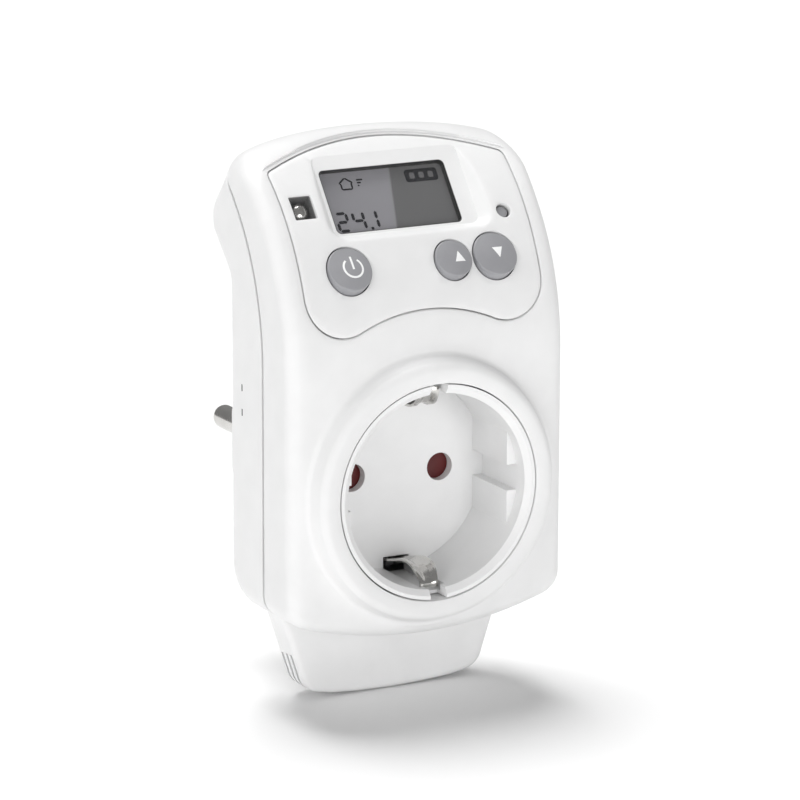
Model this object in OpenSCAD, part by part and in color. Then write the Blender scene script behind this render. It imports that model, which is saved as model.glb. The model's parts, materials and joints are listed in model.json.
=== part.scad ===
// Plug-in mains adapter with a socket in front, a plug behind and a tilted display head.
// X is to the right seen from the front, Y points into the wall, Z is up.
// The origin is the centre of the plug's nose, on the common axis of plug and socket.

/* [Housing] */
// Width of the housing
body_w = 59.2; // [58:0.1:61]
// Crown of the head above the socket axis
crown_z = 67.6; // [67:0.1:70]
// Depth of the belly below the socket axis
belly_z = 29; // [28:0.5:32]
// Radius of the arched crown
crown_r = 74; // [70:1:90]
// Radius of the arched belly
belly_r = 83; // [75:1:100]
// Rounding of the upper corners, seen from the front
upper_corner_r = 7; // [5:0.5:8]
// Rounding of the lower corners, seen from the front
lower_corner_r = 5; // [4:0.5:7]
// Radius of the front where it curves back above the socket
brow_r = 45; // [44:0.5:47]
// Height where the front starts to curve back
brow_z = 24; // [23:0.5:25]
// Rounding behind the crown
crown_round = 10; // [8:0.5:11]
// Wall thickness of the covers
wall = 2; // [1.8:0.1:2.2]
// Depth of the front cover
seam_depth = 11.5; // [11:0.1:12]
// Width of the joint line between the covers
seam_gap = 0.4; // [0.3:0.1:0.5]

/* [Depths] */
// Distance from the socket's rim to the plug's nose
reach = 55.5; // [55.5:0.1:57]
// Length of the plug that enters the wall socket
plug_len = 17.5; // [17:0.1:17.5]
// Gap between the wall and the lower back
rear_gap = 8; // [7:0.5:8]
// Height of the collar above the front
collar_h = 4; // [3.5:0.1:4.5]

/* [Socket and plug] */
// Depth of the socket recess
recess_depth = 17.5; // [17:0.1:17.5]
// Inner radius of the socket recess
recess_r = 19.04; // [19:0.02:19.1]
// Radius of the round joint between insert and collar
insert_joint_r = 21; // [20.9:0.1:21.2]
// Outer radius of the collar at its foot
collar_r = 26; // [25.5:0.1:26.5]
// Half the distance between the two pins
pin_x = 9.5; // [9.5:0.1:9.6]
// Radius of the socket's pin holes
pin_hole_r = 2.75; // [2.6:0.05:2.8]
// Radius of the plug pins
pin_r = 2.4; // [2.35:0.05:2.4]
// Free length of the plug pins
pin_len = 19; // [18.5:0.5:19]
// Radius of the plug body
plug_r = 18.5; // [18.3:0.1:18.6]
// Distance from the axis to the side guides
guide_x = 16.76; // [16.6:0.02:16.8]
// Width of the channel between two guides
guide_gap = 5.1; // [5:0.1:5.4]

/* [Control panel] */
// Tilt of the display and buttons from upright
panel_tilt = 38.1; // [37:0.1:39]
// Half width of the panel
panel_half_w = 25.4; // [25:0.1:25.6]
// Gap round the panel
panel_gap = 0.2; // [0.15:0.05:0.3]
// Radius of the power and down buttons
big_button_r = 4.5; // [4.3:0.1:4.5]
// Radius of the up button
small_button_r = 3.8; // [3.6:0.05:3.8]
// Travel of the three large buttons
button_travel = 0.6; // [0.4:0.1:0.6]

/* [Hidden] */
$fn = 96;

rim_y = -reach;
front_y = rim_y + collar_h;
floor_y = rim_y + recess_depth;
wall_y = -plug_len;
rear_y = wall_y - rear_gap;
seam_y = front_y + seam_depth;
half_w = body_w / 2;
far = 120;
eps = 0.05;

// Height where the lower back ends and the head's back pad begins
back_step_z = 39;
belly_round = 7;
crown_cz = crown_z - crown_r;
belly_cz = belly_r - belly_z;
arc_steps = 24;

// Panel outline
lobe_r = 8;
lobe_x = panel_half_w - lobe_r;
lobe_z = 38.6;
panel_top_z = 63.9;
panel_top_r = 82;
panel_corner_r = 1.2;
panel_t = 2;
ledge_w = 1.4;
ledge_t = 1.2;

// Display plane and what lies on it, in panel coordinates: x, up along the panel, out of the panel
display_y = -37.45;
display_z = 54;
display_x = -0.95;
display_w = 26.8;
display_h = 13.5;
lamp_pos = [-20.9, -1.5];
lamp_w = 4.6;
lamp_h = 5.1;
power_pos = [-15.1, -14.9];
up_pos = [7, -14.9];
down_pos = [16, -14.9];
reset_pos = [20.4, -6.3];
reset_r = 1.2;
reset_hole_r = 1.5;
button_gap = 0.2;
sleeve_end = -3;
flange_t = 0.8;
board_top = -8.5;
board_t = 1.6;
switch_top = -4.75;

// Socket insert
floor_t = 2;
insert_r = insert_joint_r - 0.15;
insert_back_y = floor_y + floor_t;
insert_flange_r = 23.5;
clip_half_w = 2.5;
clip_t = 0.8;
shutter_t = 1.4;
shutter_y = insert_back_y + 0.25;
retainer_y = shutter_y + shutter_t + 0.35;
retainer_t = 1;
retainer_r = 16.5;
post_r = 1.5;

// Plug and contacts
flange_y = rear_y - wall;
plug_floor_y = -14;
pin_root_r = 2.2;
contact_front_y = retainer_y + retainer_t + 0.3;
contact_r = 3.6;
contact_bore_r = 2.55;

// Screws
screw_spots = [[-24.4, -15.5], [24.4, -15.5], [-24.4, 26.5], [24.4, 26.5]];
screw_r = 1.2;
screw_head_r = 2.6;
boss_r = 3.4;

// Foot with the temperature sensor
foot_front_y = -37.3;
foot_rear_y = -29.6;
foot_top_z = -24;
foot_z = -43.4;
foot_top_w = 24.2;
foot_low_w = 20.3;
foot_round = 4.6;
foot_wall = 1.6;

// Boards behind the display
power_board_y = -29.6;
power_board_low = 22.6;
power_board_high = 43.5;
power_board_half_w = 20.5;
fuse_z = 35;

function arc(cx, cy, r, a0, a1, n = arc_steps) =
    [for (i = [0:n]) let (a = a0 + (a1 - a0) * i / n) [cx + r * cos(a), cy + r * sin(a)]];

function backwards(points) = [for (i = [len(points) - 1:-1:0]) points[i]];

function mirrored(points) = [for (p = backwards(points)) [-p[0], p[1]]];

// Front view of the housing, pulled in by t
function outline(t) =
    let (
        ux = half_w - upper_corner_r,
        uz = crown_cz + sqrt(pow(crown_r - upper_corner_r, 2) - ux * ux),
        ua = atan2(uz - crown_cz, ux),
        lx = half_w - lower_corner_r,
        lz = belly_cz - sqrt(pow(belly_r - lower_corner_r, 2) - lx * lx),
        la = atan2(lz - belly_cz, lx),
        right = concat(
            arc(0, belly_cz, belly_r - t, -90, la),
            arc(lx, lz, lower_corner_r - t, la, 0),
            arc(ux, uz, upper_corner_r - t, 0, ua),
            arc(0, crown_cz, crown_r - t, ua, 90)
        )
    )
    concat(right, mirrored(right));

// Side view of the front from the brow's start to where the arc is at depth y_end
function brow(y_front, t, y_end) =
    let (cy = y_front + brow_r, a = acos((y_end - cy) / (brow_r - t)))
    arc(cy, brow_z, brow_r - t, 180, a, 40);

// Side view of the housing, pulled in by t
function profile(t) =
    let (lift = t * tan(22.5))
    concat(
        [[front_y + t, -far]],
        brow(front_y, t, wall_y - t),
        [[wall_y - t, back_step_z + rear_gap + lift], [rear_y - t, back_step_z + lift], [rear_y - t, -far]]
    );

// Control panel seen from the front, pulled in by t
function panel_outline(t) =
    let (
        cx = panel_half_w - panel_corner_r,
        top_cz = panel_top_z - panel_top_r,
        cz = top_cz + sqrt(pow(panel_top_r - panel_corner_r, 2) - cx * cx),
        ca = atan2(cz - top_cz, cx),
        hollow_r = norm([lobe_x, lobe_z]) - lobe_r,
        lobe_a = atan2(lobe_z, lobe_x),
        right = concat(
            arc(0, 0, hollow_r + t, 90, lobe_a),
            arc(lobe_x, lobe_z, lobe_r - t, lobe_a + 180, 360),
            arc(cx, cz, max(panel_corner_r - t, 0.2), 0, ca, 6),
            arc(0, top_cz, panel_top_r - t, ca, 90)
        )
    )
    concat(right, mirrored(right));

// Extrudes a front view from y0 back to y1
module along_y(y0, y1) {
    translate([0, y1, 0])
        rotate([90, 0, 0])
            linear_extrude(y1 - y0)
                children();
}

// Extrudes a side view, drawn as depth and height, from x0 to x1
module along_x(x0, x1) {
    translate([x0, 0, 0])
        rotate([90, 0, 90])
            linear_extrude(x1 - x0)
                children();
}

// Turns a profile of radius and depth about the plug and socket axis, lifted by z
module turned(z = 0) {
    translate([0, 0, z])
        rotate([-90, 0, 0])
            rotate_extrude($fn = 180)
                children();
}

module tube_y(x, z, r, y0, y1) {
    translate([x, y1, z])
        rotate([90, 0, 0])
            cylinder(r = r, h = y1 - y0);
}

module ring_y(r_out, r_in, y0, y1) {
    difference() {
        tube_y(0, 0, r_out, y0, y1);
        tube_y(0, 0, r_in, y0 - 1, y1 + 1);
    }
}

// Panel coordinates: local Y runs up the panel and local Z out of it
module on_panel() {
    translate([0, display_y, display_z])
        rotate([90 - panel_tilt, 0, 0])
            children();
}

module panel_box(x, u, w, size) {
    on_panel()
        translate([x - size[0] / 2, u - size[1] / 2, w])
            cube(size);
}

module panel_rod(pos, r, w0, w1) {
    on_panel()
        translate([pos[0], pos[1], w0])
            cylinder(r = r, h = w1 - w0);
}

// Solid shape of the housing, pulled in by t
module block(t) {
    intersection() {
        along_y(-far, far) polygon(outline(t));
        along_x(-far, far) polygon(profile(t));
        turned(crown_cz)
            polygon(concat(
                [[0, -far], [crown_r - t, -far]],
                arc(crown_r - crown_round, wall_y - crown_round, crown_round - t, 0, 90),
                [[0, wall_y - t]]
            ));
        turned(belly_cz)
            polygon(concat(
                [[0, -far], [belly_r - t, -far]],
                arc(belly_r - belly_round, rear_y - belly_round, belly_round - t, 0, 90),
                [[belly_cz + 16, rear_y - t], [belly_cz + 16, 0], [0, 0]]
            ));
    }
}

// Everything in front of the joint surface, moved back by d
module before_seam(d) {
    along_x(-far, far)
        polygon(concat(
            [[-far, -far], [seam_y + d, -far]],
            arc(seam_y + d + brow_r, brow_z, brow_r, 180, 92, 40),
            [[seam_y + d + brow_r, far], [-far, far]]
        ));
}

module behind_seam(d) {
    difference() {
        translate([-half_w - 5, -far / 2 - 20, -far / 2])
            cube([body_w + 10, far, 1.3 * far]);
        before_seam(d);
    }
}

// Slab that follows the front surface between depths t0 and t1, cut to the panel outline
module panel_slab(pull, t0, t1) {
    intersection() {
        along_y(front_y - 5, wall_y) polygon(panel_outline(pull));
        along_x(-half_w, half_w)
            polygon(concat(
                [[front_y + t0, 20]],
                brow(front_y, t0, wall_y - 6),
                backwards(brow(front_y, t1, wall_y - 6)),
                [[front_y + t1, 20]]
            ));
    }
}

module foot_shape(t) {
    top = foot_top_w - t;
    low = foot_low_w - t;
    round_r = foot_round - min(t, 1);
    hull() {
        along_y(foot_front_y + t, foot_rear_y - t)
            translate([-top, foot_top_z])
                square([2 * top, 1]);
        for (side = [-1, 1])
            along_y(foot_front_y + t + 1, foot_rear_y - t - 1)
                translate([side * (low - round_r - 0.4), foot_z + 1.2 + t + round_r])
                    circle(r = round_r, $fn = 32);
        along_y(foot_front_y + t + 1, foot_rear_y - t - 1)
            translate([-6, foot_z + t])
                square([12, 1]);
    }
}

module front_cover() color("white") {
    difference() {
        union() {
            intersection() {
                difference() {
                    block(0);
                    block(wall);
                }
                before_seam(-seam_gap / 2);
            }
            intersection() {
                panel_slab(-ledge_w, wall - eps, wall + ledge_t);
                block(0.5);
            }
            turned()
                polygon(concat(
                    [[insert_joint_r, front_y + wall], [insert_joint_r, rim_y + 0.3], [insert_joint_r + 0.3, rim_y]],
                    arc(collar_r - 2.6, rim_y + 1.8, 1.8, -90, -15, 8),
                    [[collar_r, front_y], [collar_r, front_y + wall]]
                ));
            ring_y(insert_joint_r + 1.6, insert_joint_r, front_y + wall - eps, floor_y - 0.1);
            for (s = screw_spots)
                tube_y(s[0], s[1], boss_r, front_y + wall - 0.5, seam_y - 1.9);
        }
        tube_y(0, 0, insert_joint_r, rim_y - 1, floor_y);
        panel_slab(0, -3, wall);
        panel_slab(ledge_w, -3, wall + ledge_t + 2);
        intersection() {
            block(0.8);
            before_seam(0);
            behind_seam(-1.8);
            difference() {
                translate([-half_w, -far, -far / 2]) cube([body_w, far, far * 1.2]);
                for (s = screw_spots)
                    tube_y(s[0], s[1], boss_r, front_y, seam_y);
                tube_y(0, 0, insert_joint_r + 1.6, front_y, seam_y);
            }
        }
        for (s = screw_spots)
            tube_y(s[0], s[1], screw_r + 0.03, front_y + wall + 0.4, seam_y);
    }
}

module vent_slots() {
    for (side = [-1, 1])
        for (i = [0:2])
            translate([side * (foot_low_w - 0.6), foot_front_y + 2 + i * 2, -38.4])
                rotate([0, side * 16, 0])
                    cube([7, 0.9, 7.6 - i * 0.5], center = true);
}

module rear_cover() color("white") {
    difference() {
        union() {
            intersection() {
                difference() {
                    block(0);
                    block(wall);
                }
                behind_seam(seam_gap / 2);
            }
            intersection() {
                difference() {
                    block(0.9);
                    block(wall);
                }
                behind_seam(-1.6);
                before_seam(seam_gap / 2 + 0.3);
            }
            difference() {
                foot_shape(0);
                foot_shape(foot_wall);
                block(wall);
            }
            turned()
                polygon([[plug_r + 0.2, rear_y - wall], [plug_r + 5.5, rear_y - wall], [plug_r + 5.5, rear_y],
                    [plug_r + 3.5, wall_y], [plug_r + 0.2, wall_y]]);
            for (s = screw_spots)
                tube_y(s[0], s[1], boss_r, seam_y - 1.4, rear_y - 1);
        }
        intersection() {
            foot_shape(foot_wall);
            translate([-16, foot_front_y, foot_z])
                cube([32, foot_rear_y - foot_front_y, 22]);
        }
        tube_y(0, 0, plug_r + 0.2, rear_y - wall - 1, wall_y + 1);
        vent_slots();
        for (s = screw_spots) {
            tube_y(s[0], s[1], screw_r + 0.4, seam_y - 3, rear_y + 1);
            tube_y(s[0], s[1], screw_head_r + 0.3, rear_y - 4.5, rear_y + 1);
        }
    }
}

module control_panel() color("whitesmoke") {
    difference() {
        union() {
            panel_slab(panel_gap, 0, panel_t - eps);
            intersection() {
                panel_box(display_x + 0.5, 0.3, -2.4, [34.6, display_h + 5, 6]);
                panel_slab(ledge_w + 0.3, 1, 6);
            }
            intersection() {
                for (b = [[power_pos, big_button_r], [down_pos, big_button_r], [up_pos, small_button_r]])
                    panel_rod(b[0], b[1] + button_gap + 0.9, sleeve_end + 0.1, 1);
                panel_slab(ledge_w + 0.3, 1, 6);
            }
            intersection() {
                panel_rod(reset_pos, reset_hole_r + 1, -1.4, 2);
                panel_slab(ledge_w + 0.3, 1, 6);
            }
        }
        panel_box(display_x + 1.1, 0.6, 0, [display_w + 4.4, display_h + 2.6, 9]);
        panel_box(display_x, 0, -9, [display_w, display_h, 12]);
        panel_box(lamp_pos[0], lamp_pos[1], -3, [lamp_w, lamp_h, 8]);
        for (b = [[power_pos, big_button_r], [down_pos, big_button_r], [up_pos, small_button_r]])
            panel_rod(b[0], b[1] + button_gap, -9, 6);
        panel_rod(reset_pos, reset_hole_r, -9, 6);
    }
}

module display_window() color("lightgrey", 0.4) {
    panel_box(display_x, 0, -1.3, [display_w - 0.1, display_h - 0.1, 1.2]);
}

module display_module() color("slategray") {
    panel_box(display_x, 0, -4.7, [display_w + 1, display_h + 3, 2.2]);
}

module display_holder() color("black") {
    difference() {
        panel_box(display_x, 0, board_top, [display_w + 4, display_h + 4.8, -2.5 - board_top]);
        panel_box(display_x, 0, -4.8, [display_w + 1.2, display_h + 3.2, 8]);
        panel_box(display_x, 0, board_top - 1, [display_w - 2, display_h + 2.4, 9]);
    }
}

module zebra_strips() color("pink") {
    for (side = [-1, 1])
        panel_box(display_x, side * (display_h / 2 + 0.1), board_top, [display_w - 3, 2, -4.7 - board_top]);
}

module lamp_window() color("lightgrey", 0.4) {
    panel_box(lamp_pos[0], lamp_pos[1], -0.4, [lamp_w - 0.1, lamp_h - 0.1, 0.8]);
}

module indicator_lamp() color("silver") {
    panel_rod(lamp_pos, 1.5, board_top, -1.6);
    panel_rod(lamp_pos, 1.9, board_top, -6.5);
}

// A round key: a crowned cap, lugs above and below that stop under the sleeve, and a stem over its switch
module key(pos, r) {
    panel_rod(pos, r, sleeve_end - eps, 1.6);
    on_panel()
        translate([pos[0], pos[1], 1.6 - eps])
            cylinder(r1 = r, r2 = r - 0.5, h = 0.5);
    intersection() {
        panel_rod(pos, r + 0.9, sleeve_end - flange_t, sleeve_end);
        panel_box(pos[0], pos[1], sleeve_end - flange_t, [2 * r - 0.4, 2 * r + 2, flange_t]);
    }
    panel_rod(pos, 1.6, switch_top + button_travel + 0.2, sleeve_end - flange_t + eps);
}

module power_button() color("darkgray") key(power_pos, big_button_r);

module up_button() color("darkgray") key(up_pos, small_button_r);

module down_button() color("darkgray") key(down_pos, big_button_r);

module reset_button() color("gray") {
    panel_rod(reset_pos, reset_r, -1.5, 1.7);
    panel_rod(reset_pos, 2.2, -2.4, -1.5);
    panel_rod(reset_pos, 1, switch_top + 0.8, -2.4 + eps);
}

module tact_switches() color("dimgray") {
    for (p = [power_pos, up_pos, down_pos, reset_pos]) {
        panel_box(p[0], p[1], board_top, [6, 6, 3.1]);
        panel_rod(p, 1.7, board_top + 3, switch_top);
    }
}

module display_board() color("darkgreen") {
    difference() {
        panel_box(0, -5.9, board_top - board_t, [47, 26.4, board_t]);
        for (side = [-1, 1])
            panel_rod([side * 21, 4.6], 1.3, board_top - 3, board_top + 1);
    }
}

module control_chip() color("black") {
    panel_box(4.5, -12, board_top - board_t - 1.4, [10, 10, 1.4]);
}

module backup_cell() color("silver") {
    panel_rod([12, -1], 6, board_top - board_t - 2.6, board_top - board_t);
}

module link_pins() color("gold") {
    for (i = [0:5])
        tube_y(-16.5 + i * 2.54, 38.5, 0.35, -37.2, power_board_y + 0.4);
}

module power_board() color("darkgreen") {
    translate([-power_board_half_w, power_board_y, power_board_low])
        cube([2 * power_board_half_w, board_t, power_board_high - power_board_low]);
}

module relay() color("royalblue") {
    translate([-19, power_board_y - 11, 23.9])
        cube([20, 11, 8.6]);
}

module mains_capacitor() color("goldenrod") {
    translate([2.2, power_board_y - 10.5, 23.9])
        cube([13, 10.5, 6]);
}

module smoothing_capacitor() color("dimgray") {
    tube_y(17.6, 34.6, 2.6, power_board_y - 6.5, power_board_y);
}

module varistor() color("steelblue") {
    translate([7.5, power_board_y - 3.2, 34.4])
        rotate([90, 0, 0])
            cylinder(r = 3.5, h = 3, center = true);
    for (side = [-1, 1])
        tube_y(7.5 + side * 2.2, 34.4, 0.3, power_board_y - 2, power_board_y);
}

module fuse() color("beige") {
    translate([-12, power_board_y - 2.6, fuse_z])
        rotate([0, 90, 0])
            cylinder(r = 2, h = 10);
    for (x = [-12.4, -3])
        translate([x, power_board_y - 4.4, fuse_z - 1.6])
            cube([1.4, 4.4, 3.2]);
}

module guide_blocks() {
    for (side = [-1, 1])
        for (half = [-1, 1])
            intersection() {
                tube_y(0, 0, recess_r + 0.5, rim_y + 4, floor_y + eps);
                along_y(rim_y, floor_y + 1)
                    translate([side > 0 ? guide_x : -guide_x - 4, half > 0 ? guide_gap / 2 : -guide_gap / 2 - 8])
                        square([4, 8]);
            }
}

module socket_insert() color("white") {
    difference() {
        union() {
            turned()
                polygon([[recess_r, floor_y], [recess_r, rim_y + 1.1], [insert_r - 0.7, rim_y + 0.2],
                    [insert_r, rim_y + 0.2], [insert_r, floor_y], [insert_flange_r, floor_y],
                    [insert_flange_r, insert_back_y], [0, insert_back_y], [0, floor_y]]);
            guide_blocks();
            tube_y(0, 0, post_r, insert_back_y - eps, retainer_y + retainer_t + 0.2);
        }
        for (side = [-1, 1]) {
            tube_y(side * pin_x, 0, pin_hole_r, floor_y - 1, insert_back_y + 1);
            translate([-clip_half_w - 0.3, rim_y + 3, side > 0 ? 16.6 : -20.2])
                cube([2 * clip_half_w + 0.6, recess_depth + 3, 3.6]);
            translate([-1.75, rim_y - 1, side > 0 ? 17 : -21.5])
                cube([3.5, 5, 4.5]);
        }
    }
}

module shutter() color("firebrick") {
    difference() {
        union() {
            tube_y(0, 0, 3.4, shutter_y, shutter_y + shutter_t);
            for (side = [-1, 1]) {
                tube_y(side * pin_x, 0, 3.4, shutter_y, shutter_y + shutter_t);
                translate([side > 0 ? 0 : -pin_x, shutter_y, -2.2])
                    cube([pin_x, shutter_t, 4.4]);
            }
        }
        tube_y(0, 0, post_r + 0.06, shutter_y - 1, shutter_y + 3);
    }
}

module shutter_spring() color("silver") {
    turned()
        translate([4.6, retainer_y + retainer_t + 0.55])
            circle(r = 0.3, $fn = 24);
    turned()
        translate([4.6, retainer_y + retainer_t + 1.2])
            circle(r = 0.3, $fn = 24);
}

module shutter_retainer() color("gainsboro") {
    difference() {
        tube_y(0, 0, retainer_r, insert_back_y, retainer_y + retainer_t);
        tube_y(0, 0, retainer_r - 1.3, insert_back_y - 1, retainer_y);
        for (side = [-1, 1])
            tube_y(side * pin_x, 0, contact_r + 0.4, insert_back_y, 0);
        tube_y(0, 0, post_r + 0.05, insert_back_y, 0);
    }
}

// Side view of one earth spring, from behind the insert up to its rolled lip
module earth_arm(side) {
    base_y = retainer_y + retainer_t + 2.2;
    points = [[base_y, 18.6], [floor_y - 3, 18.6], [floor_y - 7.5, 17], [floor_y - 11.5, 17.2],
        [rim_y + 3.8, 19.3]];
    for (i = [0:len(points) - 2])
        hull()
            for (p = [points[i], points[i + 1]])
                translate([-clip_half_w, p[0], side * p[1]])
                    rotate([0, 90, 0])
                        cylinder(r = clip_t / 2, h = 2 * clip_half_w, $fn = 12);
}

module earth_bracket() color("silver") {
    base_y = retainer_y + retainer_t + 2.2;
    for (side = [-1, 1])
        earth_arm(side);
    translate([-clip_half_w, base_y - clip_t / 2, -18.9])
        cube([2 * clip_half_w, clip_t, 37.8]);
}

// A split sleeve that grips a pin, closed at its back end
module pin_contact(side, back_y) {
    difference() {
        tube_y(side * pin_x, 0, contact_r, contact_front_y, back_y);
        tube_y(side * pin_x, 0, contact_bore_r, contact_front_y - 1, floor_y + pin_len + 0.6);
        translate([side * pin_x - 0.4, contact_front_y - 1, -5])
            cube([0.8, 9, 10]);
    }
}

module live_contact() color("darkkhaki") pin_contact(-1, -16.6);

module neutral_contact() color("darkkhaki") pin_contact(1, plug_floor_y);

module contact_insulator() color("tan") tube_y(-pin_x, 0, 4, -16.6, -14.6);

module plug_base() color("white") {
    difference() {
        union() {
            turned()
                polygon([[0, flange_y], [plug_r, flange_y], [plug_r, -1.2], [plug_r - 1.2, 0], [0, 0]]);
            tube_y(0, 0, plug_r + 3, flange_y - 1.6, flange_y);
        }
        tube_y(0, 0, plug_r - 2.6, flange_y - 3, plug_floor_y);
        for (side = [-1, 1]) {
            tube_y(side * pin_x, 0, pin_root_r + 0.02, plug_floor_y - 1, 1);
            tube_y(side * pin_x, 0, pin_r + 0.02, -0.4, 1);
            translate([side > 0 ? guide_x - 0.4 : -guide_x - 3.6, wall_y + 0.3, -12])
                cube([4, plug_len + 1, 24]);
            translate([-clip_half_w - 0.2, flange_y - 3, side > 0 ? plug_r - 0.9 : -plug_r - 3.2])
                cube([2 * clip_half_w + 0.4, -flange_y + 0.5, 4.1]);
        }
    }
}

// A solid round pin with a rounded tip and a slimmer root moulded into the plug
module plug_pin(side) {
    translate([side * pin_x, 0, 0])
        turned()
            polygon(concat(
                [[0, plug_floor_y], [pin_root_r, plug_floor_y], [pin_root_r, eps], [pin_r, eps]],
                arc(pin_r - 1.9, pin_len - 1.9, 1.9, 0, 90, 8),
                [[0, pin_len]]
            ));
}

module live_pin() color("silver") plug_pin(-1);

module neutral_pin() color("silver") plug_pin(1);

module plug_earth_contacts() color("silver") {
    for (side = [-1, 1])
        translate([-clip_half_w, flange_y - 1.6, side > 0 ? plug_r - 0.75 : -plug_r - 0.05])
            cube([2 * clip_half_w, -flange_y - 1.4, clip_t]);
}

module temperature_sensor() color("sienna") {
    translate([0, -33.4, -37.8])
        sphere(r = 1.3);
}

// Round wire through a list of points
module wire(points, r) {
    for (i = [0:len(points) - 2])
        hull()
            for (p = [points[i], points[i + 1]])
                translate(p)
                    sphere(r = r, $fn = 12);
}

module sensor_leads() color("gray") {
    for (x = [0, 1.6])
        wire([[x * 0.6 - 0.5, -33.4, -35.9], [7 + x, -33.4, -26], [23.2 + x, -31.5, -8],
            [23.2 + x, -31.5, 12], [18 + x, -30.6, 22.4]], 0.5);
}

module mains_leads() color("saddlebrown") {
    for (side = [-1, 1])
        wire([[side * 13.4, -22, 2.4], [side * 13.4, -30.5, 6], [side * 13, -30.6, 14], [side * 12, -30.6, 22.5]], 0.7);
}

module housing_screws() color("silver") {
    for (s = screw_spots) {
        tube_y(s[0], s[1], screw_r, front_y + wall + 1.2, rear_y - 4.4);
        tube_y(s[0], s[1], screw_head_r, rear_y - 4.5, rear_y - 2.6);
    }
}

module board_screws() color("silver") {
    for (side = [-1, 1]) {
        panel_rod([side * 21, 4.6], 1.1, board_top - board_t - 0.2, board_top + 3);
        panel_rod([side * 21, 4.6], 2, board_top - board_t - 1.4, board_top - board_t);
    }
}

front_cover();
rear_cover();
control_panel();
display_window();
display_module();
display_holder();
zebra_strips();
lamp_window();
indicator_lamp();
power_button();
up_button();
down_button();
reset_button();
tact_switches();
display_board();
control_chip();
backup_cell();
link_pins();
power_board();
relay();
mains_capacitor();
smoothing_capacitor();
varistor();
fuse();
socket_insert();
shutter();
shutter_spring();
shutter_retainer();
earth_bracket();
live_contact();
neutral_contact();
contact_insulator();
plug_base();
live_pin();
neutral_pin();
plug_earth_contacts();
temperature_sensor();
sensor_leads();
mains_leads();
housing_screws();
board_screws();
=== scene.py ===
"""Looks of the plug-in mains adapter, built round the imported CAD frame.

Lengths are in millimetres in the CAD frame (X right, Y into the wall, Z up) until mesh_piece() turns
them into metres. Panel coordinates are x, u up along the tilted panel and w out of it.
"""
import json
import math

import bmesh
import bpy
import numpy as np
from mathutils import Matrix, Vector
from mathutils.geometry import delaunay_2d_cdt


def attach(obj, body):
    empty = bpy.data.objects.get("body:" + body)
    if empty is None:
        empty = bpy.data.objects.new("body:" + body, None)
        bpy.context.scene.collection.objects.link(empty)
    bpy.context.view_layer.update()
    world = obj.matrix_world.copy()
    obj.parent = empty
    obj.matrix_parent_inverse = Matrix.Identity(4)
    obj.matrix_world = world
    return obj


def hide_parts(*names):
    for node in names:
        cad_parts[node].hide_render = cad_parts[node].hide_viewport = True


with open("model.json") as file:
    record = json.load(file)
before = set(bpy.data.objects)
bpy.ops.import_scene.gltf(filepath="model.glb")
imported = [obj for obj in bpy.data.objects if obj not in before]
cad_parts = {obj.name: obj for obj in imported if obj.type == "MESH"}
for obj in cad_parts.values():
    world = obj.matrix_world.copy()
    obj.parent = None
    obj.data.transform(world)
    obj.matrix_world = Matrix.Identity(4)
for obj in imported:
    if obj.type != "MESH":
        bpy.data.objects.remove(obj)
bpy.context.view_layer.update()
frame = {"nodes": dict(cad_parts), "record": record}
nodes = frame["nodes"]
MM = 0.001

# Driving dimensions, the same as the CAD's
FRONT_Y, SEAM_Y, REAR_Y = -51.5, -40.0, -25.5
HALF_W = 29.6
CROWN_Z, CROWN_R, BELLY_Z, BELLY_R = 67.6, 74.0, -29.0, 83.0
UPPER_R, LOWER_R = 7.0, 5.0
BROW_R, BROW_Z = 45.0, 24.0
STEP_LOW, STEP_HIGH = 39.0, 47.0
SEAM_HALF_GAP = 0.36
TILT = math.radians(38.1)
PANEL_Y, PANEL_Z = -37.45, 54.0
PANEL_GAP = 0.2

CROWN_CZ = CROWN_Z - CROWN_R
BELLY_CZ = BELLY_Z + BELLY_R
UPPER_X = HALF_W - UPPER_R
UPPER_Z = CROWN_CZ + math.sqrt((CROWN_R - UPPER_R) ** 2 - UPPER_X**2)
LOWER_X = HALF_W - LOWER_R
LOWER_Z = BELLY_CZ - math.sqrt((BELLY_R - LOWER_R) ** 2 - LOWER_X**2)


# ---------------------------------------------------------------- mesh helpers
def arc(cx, cy, radius, start, end, count):
    """Points on an arc, angles in degrees, both ends included."""
    steps = np.radians(np.linspace(start, end, count + 1))
    return [(cx + radius * math.cos(a), cy + radius * math.sin(a)) for a in steps]


def spread(points, pitch, closed=True):
    """The same line with points no further apart than pitch."""
    line = []
    pairs = zip(points, points[1:] + points[:1] if closed else points[1:])
    for p, q in pairs:
        cuts = max(1, math.ceil(math.dist(p, q) / pitch))
        line += [tuple(np.array(p) + (np.array(q) - np.array(p)) * i / cuts) for i in range(cuts)]
    return line if closed else line + [points[-1]]


def round_box(cx, cy, width, height, radius, pitch=0.8):
    """Outline of a rectangle with round corners, anticlockwise."""
    x, y = width / 2 - radius, height / 2 - radius
    corners = [(x, y, 0), (-x, y, 90), (-x, -y, 180), (x, -y, 270)]
    points = [p for a, b, t in corners for p in arc(cx + a, cy + b, radius, t, t + 90, 8)]
    return spread(points, pitch)


def circle(cx, cy, radius, count=64):
    return arc(cx, cy, radius, 0, 360 - 360 / count, count - 1)


def inside(points, outline):
    """Which of the points lie inside the outline."""
    x, y = points[:, 0], points[:, 1]
    result = np.zeros(len(points), bool)
    for (x0, y0), (x1, y1) in zip(outline, outline[1:] + outline[:1]):
        if y0 == y1:
            continue
        crossing = ((y0 > y) != (y1 > y)) & (x < (x1 - x0) * (y - y0) / (y1 - y0) + x0)
        result ^= crossing
    return result


def clear_of(points, line, margin):
    """The points further than margin from every point of the line."""
    gap = np.hypot(points[:, None, 0] - line[None, :, 0], points[:, None, 1] - line[None, :, 1])
    return points[gap.min(1) > margin]


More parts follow.
